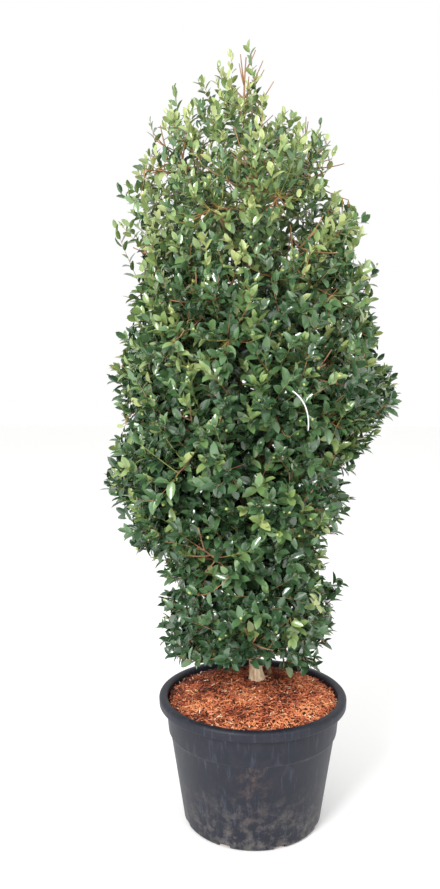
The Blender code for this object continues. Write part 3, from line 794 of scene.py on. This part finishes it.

# %% [markdown]
# Some shoots are listed, each by its place across and its height: leaders, which stand upright on
# the upper crown, and side shoots at the bumps of the outline. Rows of heights give the crown's left and
# right edge as the front shows them. Other shoots that end past an edge are left out later, and so are
# leaves, apart from those of leaders.

# %% Leaders, side shoots and edges
# Place across, then height.
LEADERS = (
    ((-0.022, 2.852), (-0.086, 2.842), (-0.140, 2.752), (-0.205, 2.672))
    + ((-0.286, 2.700), (-0.380, 2.602), (0.030, 2.640), (0.232, 2.556))
    + ((0.285, 2.470), (0.395, 2.240), (-0.494, 2.362), (-0.508, 2.220))
)
SIDE_SHOOTS = (
    ((0.315, 0.860), (0.330, 0.905), (-0.440, 1.040), (-0.455, 1.095))
    + ((-0.425, 1.070), (0.340, 1.165), (0.350, 1.215), (0.335, 1.270))
    + ((0.415, 1.410), (0.445, 1.455), (0.470, 1.520), (-0.535, 1.265))
    + ((-0.520, 1.330), (-0.540, 1.300), (-0.530, 1.655), (-0.510, 1.700))
    + ((-0.460, 1.780), (0.520, 1.600), (0.505, 1.645), (-0.490, 1.480))
    + ((-0.490, 1.815), (0.450, 1.825), (0.430, 1.960), (0.440, 2.060))
    + ((-0.460, 2.360), (-0.465, 1.065), (0.290, 0.700), (0.300, 0.740))
    + ((-0.335, 0.800), (-0.320, 0.850), (-0.455, 1.950), (0.345, 0.880))
)
# Height, then x at the left edge and at the right edge.
EDGE_HEIGHTS, LEFT_EDGE, RIGHT_EDGE = np.transpose((
    (0.60, -0.34, 0.28),
    (0.80, -0.35, 0.31),
    (0.88, -0.34, 0.35),
    (0.96, -0.37, 0.29),
    (1.05, -0.48, 0.31),
    (1.15, -0.49, 0.36),
    (1.26, -0.56, 0.37),
    (1.34, -0.55, 0.39),
    (1.45, -0.52, 0.47),
    (1.58, -0.53, 0.54),
    (1.66, -0.56, 0.53),
    (1.74, -0.50, 0.47),
    (1.90, -0.47, 0.44),
    (2.05, -0.45, 0.44),
    (2.14, -0.45, 0.37),
    (2.22, -0.50, 0.40),
    (2.30, -0.48, 0.33),
    (2.38, -0.47, 0.26),
    (2.46, -0.41, 0.28),
    (2.55, -0.38, 0.26),
    (2.63, -0.33, 0.11),
    (2.72, -0.27, 0.02),
    (2.80, -0.13, 0.01),
    (2.86, -0.04, 0.00),
))


def beyond_edges(points, slack):
    """Which points stand past an edge of the crown by more than the slack, seen from the camera's place."""
    distance, eye_height = -CAMERA_PLACE[1], CAMERA_PLACE[2]
    nearness = distance / (distance + points[..., 1])
    seen_x = points[..., 0] * nearness
    seen_z = eye_height + (points[..., 2] - eye_height) * nearness
    left = np.interp(seen_z, EDGE_HEIGHTS, LEFT_EDGE)
    right = np.interp(seen_z, EDGE_HEIGHTS, RIGHT_EDGE)
    return (seen_x < left - slack) | (seen_x > right + slack)


def tips_at(places, lower=0.0):
    """Tips at these places across and heights, lowered by lower, near the middle of the crown's depth."""
    return np.array([(x, 0.10 * (rng.random() - 0.5), z - lower) for x, z in places])


print(len(LEADERS), "leaders and", len(SIDE_SHOOTS), "side shoots")

# %% [markdown]
# Most shoots end on an even, jittered lattice through the crown, thick near its outside, where the light
# is, and thin inside. Noise on the scale of a hand opens hollows between the lobes, wider higher up. More
# leaders stand at random round the upper crown.

# %% Shoot tips
LATTICE = 0.059
HALF_WIDTH = 0.6
HOLLOW_SCALE = 6.5
MORE_LEADERS = 150
CROWN_TOP = 2.862
across_steps = np.arange(-HALF_WIDTH, HALF_WIDTH, LATTICE)
height_steps = np.arange(0.55, 2.87, LATTICE)
grid = np.stack(np.meshgrid(across_steps, across_steps, height_steps), -1).reshape(-1, 3)
grid = grid + rng.uniform(-0.5, 0.5, grid.shape) * LATTICE
azimuth = np.arctan2(grid[:, 1], grid[:, 0])
depth = crown_reach(azimuth, grid[:, 2]) - np.hypot(grid[:, 0], grid[:, 1])
shell_share = np.interp(depth, (0.10, 0.22), (1.0, 0.30))
openness = np.interp(grid[:, 2], (0.6, 2.0, 2.3, 2.5, 2.8), (1.0, 1.0, 0.85, 0.65, 0.5))
hollows = 0.5 + np.array([noise.noise(Vector(spot) * HOLLOW_SCALE) for spot in grid])
hollows = hollows.clip(0, 1) * np.interp(grid[:, 2], (0.9, 1.3, 1.9, 2.3), (0.0, 0.05, 0.07, 0.12))
margin = rng.uniform(-0.025, 0.035, len(grid)) + hollows
kept = (depth > margin) & (rng.random(len(grid)) < shell_share * openness)
kept &= ~beyond_edges(grid, rng.uniform(-0.035, 0.0, len(grid)))
tips = np.vstack((grid[kept], tips_at(SIDE_SHOOTS)))
leader_tips = tips_at(LEADERS, 0.008)
more_turn = rng.uniform(0, 2 * np.pi, MORE_LEADERS)
more_height = rng.uniform(1.75, 2.72, MORE_LEADERS)
more_run = crown_reach(more_turn, more_height) * rng.uniform(0.70, 1.0, MORE_LEADERS)
more_height += np.interp(more_height, (1.75, 2.2, 2.7), (0.0, 0.05, 0.07)) * rng.random(MORE_LEADERS)
more_tips = np.stack((more_run * np.cos(more_turn), more_run * np.sin(more_turn), more_height), -1)
within = more_run < crown_reach(more_turn, more_height.clip(None, CROWN_TOP)) + 0.012
more_tips = more_tips[within & ~beyond_edges(more_tips, rng.uniform(-0.050, -0.005, MORE_LEADERS))]
leader_tips = np.vstack((leader_tips, more_tips))
is_leader = np.r_[np.zeros(len(tips), bool), np.ones(len(leader_tips), bool)]
tips = np.vstack((tips, leader_tips))
print(len(tips), "shoots")

# %% [markdown]
# Low shoots point outwards and high ones stand upright. Each leaves its own mass's stem or a branch, at
# the place nearest to a point about a hand's length behind its tip.

# %% Shoot directions
azimuth = np.arctan2(tips[:, 1], tips[:, 0])
side_way = np.stack((np.cos(azimuth), np.sin(azimuth), 0 * azimuth), -1)
uprightness = np.interp(tips[:, 2], (0.6, 1.1, 1.7, 2.2, 2.6), (0.15, 0.40, 0.85, 1.6, 3.0))
uprightness = np.where(is_leader, 5.0, uprightness)
ways = side_way + uprightness[:, None] * np.array((0, 0, 1.0)) + rng.normal(0, 0.30, tips.shape)
ways = unit(ways)
owner = np.linalg.norm(tips[:, None] - centres, axis=2).argmin(axis=1)
back = np.where(is_leader, 0.22, 0.14)
wanted = tips - back[:, None] * ways
wood_points = np.vstack((branch_lines[:, 2:].reshape(-1, 3), stem_lines.reshape(-1, 3)))
wood_owner = np.r_[branch_owner.repeat(STEPS - 2), np.arange(len(masses)).repeat(STEPS)]
starts = np.empty_like(tips)
for index in range(len(masses)):
    mine = owner == index
    wood = wood_points[wood_owner == index]
    nearest = np.linalg.norm(wanted[mine][:, None] - wood, axis=2).argmin(axis=1)
    starts[mine] = wood[nearest]
lengths = np.linalg.norm(tips - starts, axis=1)
print("shoots are", round(float(lengths.mean()), 3), "m long on average")

# %% [markdown]
# Older twigs are tan and this year's are green, more of them towards the top. Both are thin tubes with
# three sides.

# %% Shoot wood
SHOOT_STEPS = 6
bends = tips - 0.45 * lengths[:, None] * ways
t = np.linspace(0, 1, SHOOT_STEPS)[None, :, None]
shoot_lines = (1 - t) ** 2 * starts[:, None] + 2 * t * (1 - t) * bends[:, None] + t**2 * tips[:, None]
shoot_radii = np.linspace(0.0016, 0.0006, SHOOT_STEPS)[None].repeat(len(tips), 0)
green_twig = rng.random(len(tips)) < np.interp(tips[:, 2], (1.0, 2.4), (0.25, 0.55))
twig_finishes = (
    ("twigs_tan", "tan_twig", "#A9764C", ~green_twig),
    ("twigs_green", "green_twig", "#94914C", green_twig),
)
for name, finish, color, chosen in twig_finishes:
    points, faces = tubes(shoot_lines[chosen], shoot_radii[chosen], 3)
    twig, tree, shader = new_material(finish, color, 0.6)
    link_relief(tree, shader, object_noise(tree, 220, 2), 0.2, 0.0004)
    place(name, array_mesh(name, points, faces), twig, "foliage", foliage_nodes)

# %% [markdown]
# A camellia leaf is a pointed ellipse about twice as long as wide, folded up a little along its midrib
# and bent down towards its tip. The pattern leaf is a small grid whose two ends are drawn to points,
# so that it needs only twelve triangles.

# %% One leaf
leaf_bm = bmesh.new()
bmesh.ops.create_grid(leaf_bm, x_segments=4, y_segments=2, size=1)
LEAF_WIDTH = 0.52
LEAF_FOLD = 0.42
LEAF_BEND = 0.16
# Place along the grid, share of the length, and half the width there as a share of the greatest width.
LEAF_ROWS = ((-1.0, 0.0, 0.0), (-0.5, 0.20, 0.40), (0.0, 0.50, 0.50), (0.5, 0.79, 0.36), (1.0, 1.0, 0.0))
for vert in leaf_bm.verts:
    column, across = vert.co.x, vert.co.y
    _, run, half = min(LEAF_ROWS, key=lambda row: abs(row[0] - column))
    width = across * half * LEAF_WIDTH
    vert.co = Vector((run, width, LEAF_FOLD * abs(width) - LEAF_BEND * run * run))
bmesh.ops.remove_doubles(leaf_bm, verts=leaf_bm.verts, dist=0.001)
bmesh.ops.triangulate(leaf_bm, faces=leaf_bm.faces[:])
leaf_bm.verts.index_update()
leaf = np.array([vert.co[:] for vert in leaf_bm.verts])
leaf_faces = np.array([[vert.index for vert in face.verts] for face in leaf_bm.faces])
leaf_bm.free()
print(len(leaf), "points and", len(leaf_faces), "triangles in a leaf")

# %% [markdown]
# Leaves stand round each shoot a golden angle apart, close together at its tip and wider apart below, or
# evenly on a leader. The youngest point forward and the oldest stand out. Each turns its upper side to
# the light, which falls from above and from outside the crown. Low shoots have larger leaves than the top.

# %% Set the leaves
LEAVES_PER_SHOOT = 15
number = np.arange(LEAVES_PER_SHOOT)
run_back = 0.004 + np.cumsum(np.interp(number, (0, 3, 14), (0.006, 0.012, 0.018)))
leader_run_back = 0.004 + 0.016 * number
run_back = np.where(is_leader[:, None], leader_run_back, run_back)
share = 1 - run_back / lengths[:, None]
present = (share > 0.06) & (rng.random(share.shape) < 0.94)
share = share.clip(0, 1)[..., None]
roots = (1 - share) ** 2 * starts[:, None] + 2 * share * (1 - share) * bends[:, None]
roots = roots + share**2 * tips[:, None]
forward = unit((1 - share) * (bends - starts)[:, None] + share * (tips - bends)[:, None])
reference = np.where(np.abs(forward[..., 2:]) > 0.9, (1.0, 0.0, 0.0), (0.0, 0.0, 1.0))
side = unit(np.cross(forward, reference))
over = np.cross(forward, side)
turn = (number * GOLDEN_ANGLE + rng.uniform(0, 2 * np.pi, len(tips))[:, None])[..., None]
radial = np.cos(turn) * side + np.sin(turn) * over
spread = np.radians(np.interp(number, (0, 2, 6), (18, 40, 62)))[None].repeat(len(tips), 0)
spread = np.where(is_leader[:, None], 0.72 * spread, spread) + rng.normal(0, 0.16, spread.shape)
heading = np.cos(spread)[..., None] * forward + np.sin(spread)[..., None] * radial
heading = unit(heading + np.array((0, 0, 0.10)))
light = 0.50 * side_way[:, None] + np.array((0, 0, 0.75)) + 0.30 * forward
light = light + rng.normal(0, 0.30, heading.shape)
upper = unit(light - (light * heading).sum(-1, keepdims=True) * heading)
across = np.cross(upper, heading)
size = np.interp(tips[:, 2], (0.6, 1.6, 2.2, 2.8), (0.052, 0.049, 0.042, 0.036))[:, None]
size = size * np.interp(number, (0, 1, 3), (0.72, 0.86, 1.0))
size = size * rng.normal(1, 0.12, spread.shape).clip(0.7, 1.3)
print(int(present.sum()), "leaves at first")

# %% [markdown]
# A leaf is left out where it would hide the trunk's foot, touch a limb or leave the crown. Leaders stand
# free of the crown, so their leaves may leave it.

# %% Leaves left out
SIDE_DEPTH = 0.12
FOOT_HALF_WIDTH, FOOT_BACK, FOOT_TOP = 0.09, 0.08, 0.65
ends = roots + size[..., None] * heading
reach_there = crown_reach(np.arctan2(ends[..., 1], ends[..., 0]), ends[..., 2].clip(None, CROWN_TOP))
slack = np.interp(ends[..., 2], (1.1, 1.6), (0.026, 0.014))
outside = np.hypot(ends[..., 0], ends[..., 1]) > reach_there + slack
outside &= np.abs(ends[..., 1]) > SIDE_DEPTH
outside |= beyond_edges(ends, np.interp(ends[..., 2], (2.3, 2.6), (0.028, 0.045)))
present &= ~(outside & ~is_leader[:, None])
beside_foot = (np.abs(ends[..., 0]) > FOOT_HALF_WIDTH) | (ends[..., 1] > FOOT_BACK)
present &= (ends[..., 2] > FOOT_TOP) | beside_foot
limb_lines = [(trunk_line(60), 0.026)] + [(line, radii.max()) for _, _, line, radii in masses[:-1]]
middles = roots + 0.4 * size[..., None] * heading
for line, radius in limb_lines:
    near = np.full(present.shape, np.inf)
    for point in line:
        near = np.minimum(near, np.linalg.norm(middles - point, axis=-1))
    present &= near > radius
print(int(present.sum()), "leaves")

# %% [markdown]
# Colours are dealt out by shoot. Most low shoots are deep green and most high ones a fresher green, and
# the youngest leaves of a fresh shoot are yellow-green. Every colour is made as pieces of its own, in one
# plain leaf finish: waxy, so it mirrors the bright surround in a soft pale sheen.

# %% Leaf finishes
STRAY_SHARE = 0.12
MOST_LEAVES = 15000
height = tips[:, 2]
freshness = np.interp(height, (0.7, 1.5, 2.0, 2.5), (-0.10, 0.02, 0.30, 0.62))
freshness = freshness + rng.normal(0, 0.30, len(tips))
shoot_kind = np.digitize(freshness, (-0.08, 0.28, 0.62))
leaf_kind = shoot_kind[:, None].repeat(LEAVES_PER_SHOOT, 1)
leaf_kind = leaf_kind + (number[None] < 4) * (shoot_kind[:, None] >= 2) - (number[None] > 8)
fresher = rng.random(leaf_kind.shape) < STRAY_SHARE
leaf_kind = leaf_kind + fresher - (rng.random(leaf_kind.shape) < STRAY_SHARE)
leaf_kind = leaf_kind.clip(0, 4)
leaf_finishes = (
    ("leaves_deep", "deep_green_leaf", "#2C452E", "#41613E", 0.24),
    ("leaves_green", "mid_green_leaf", "#42603C", "#587A4E", 0.26),
    ("leaves_bright", "bright_green_leaf", "#597747", "#74925B", 0.30),
    ("leaves_fresh", "fresh_green_leaf", "#6F864C", "#8AA161", 0.34),
    ("leaves_young", "young_yellow_green_leaf", "#909F5B", "#ACB878", 0.38),
)
for kind_number, (name, finish, dark, pale, rough) in enumerate(leaf_finishes):
    chosen = present & (leaf_kind == kind_number)
    root, way, flat, face, scale = (values[chosen] for values in (roots, heading, across, upper, size))
    points = leaf[:, 0:1] * way[:, None] + leaf[:, 1:2] * flat[:, None] + leaf[:, 2:3] * face[:, None]
    points = root[:, None] + scale[:, None, None] * points
    wax, tree, shader = new_material(finish, dark, rough, Coat_Weight=0.8, Coat_Roughness=0.14)
    link_blend(tree, shader, object_noise(tree, 14, 2), dark, pale)
    for part, some in enumerate(np.array_split(points, math.ceil(len(points) / MOST_LEAVES))):
        faces = (leaf_faces[None] + len(leaf) * np.arange(len(some))[:, None, None]).reshape(-1, 3)
        piece = f"{name}_{part + 1}"
        place(piece, array_mesh(piece, some.reshape(-1, 3), faces), wax, "foliage", foliage_nodes)

# %% [markdown]
# Flower buds for the winter sit at the ends of some shoots: round, scaly and yellow-green, about a
# centimetre across. A sphere of few faces, drawn out a little along the shoot, is enough at that size.

# %% Buds
bud_bm = bmesh.new()
bmesh.ops.create_icosphere(bud_bm, subdivisions=2, radius=1)
bud = np.array([vert.co[:] for vert in bud_bm.verts])
bud_faces = np.array([[vert.index for vert in face.verts] for face in bud_bm.faces])
bud_bm.free()
budded = (rng.random(len(tips)) < 0.20) & (tips[:, 2] < 2.3) & ~is_leader
bud_way = unit(ways[budded])
bud_side = unit(np.cross(bud_way, (0.3, 0.9, 0.1)))
bud_over = np.cross(bud_way, bud_side)
bud_size = rng.uniform(0.0038, 0.0055, len(bud_way))[:, None, None]
points = 1.25 * bud[:, 2:3] * bud_way[:, None] + bud[:, 0:1] * bud_side[:, None]
points = points + bud[:, 1:2] * bud_over[:, None]
points = (tips[budded] + 0.004 * bud_way)[:, None] + bud_size * points
faces = (bud_faces[None] + len(bud) * np.arange(len(points))[:, None, None]).reshape(-1, 3)
scale_finish, tree, shader = new_material("bud_scales", "#A8B25E", 0.45)
link_blend(tree, shader, object_noise(tree, 260, 2), "#8F9A48", "#C2C97E")
place("buds", array_mesh("buds", points.reshape(-1, 3), faces), scale_finish, "foliage", foliage_nodes)

# %% [markdown]
# A nursery loops a slim strip of white film round a shoot to tell its stock apart. This one is blank. A
# narrow grid is bent along an arc, and Solidify gives it the film's thickness.

# %% Strip
STRIP_STEPS = 18
STRIP_HALF_WIDTH = Vector((0.0017, 0.0007, 0.0010))
STRIP_POINTS = np.array(((0.118, -0.505, 1.612), (0.172, -0.520, 1.575), (0.166, -0.500, 1.492)))
strip_bm = bmesh.new()
bmesh.ops.create_grid(strip_bm, x_segments=STRIP_STEPS, y_segments=1, size=1)
strip_line = arc(*STRIP_POINTS, STRIP_STEPS + 1)
for vert in strip_bm.verts:
    middle = strip_line[round((vert.co.x + 1) * STRIP_STEPS / 2)]
    vert.co = Vector(middle) + vert.co.y * STRIP_HALF_WIDTH
strip_mesh = done("blank_strip", strip_bm)
strip_mesh.shade_smooth()
film, tree, shader = new_material("white_polypropylene_film", "#F4F4F2", 0.35)
link_blend(tree, shader, object_noise(tree, 60, 2), "#C9CCCC", "#E6E7E6")
strip = place("blank_strip", strip_mesh, film, "foliage")
solidify = strip.modifiers.new("thickness", "SOLIDIFY")
solidify.thickness = 0.0006
solidify.offset = 0
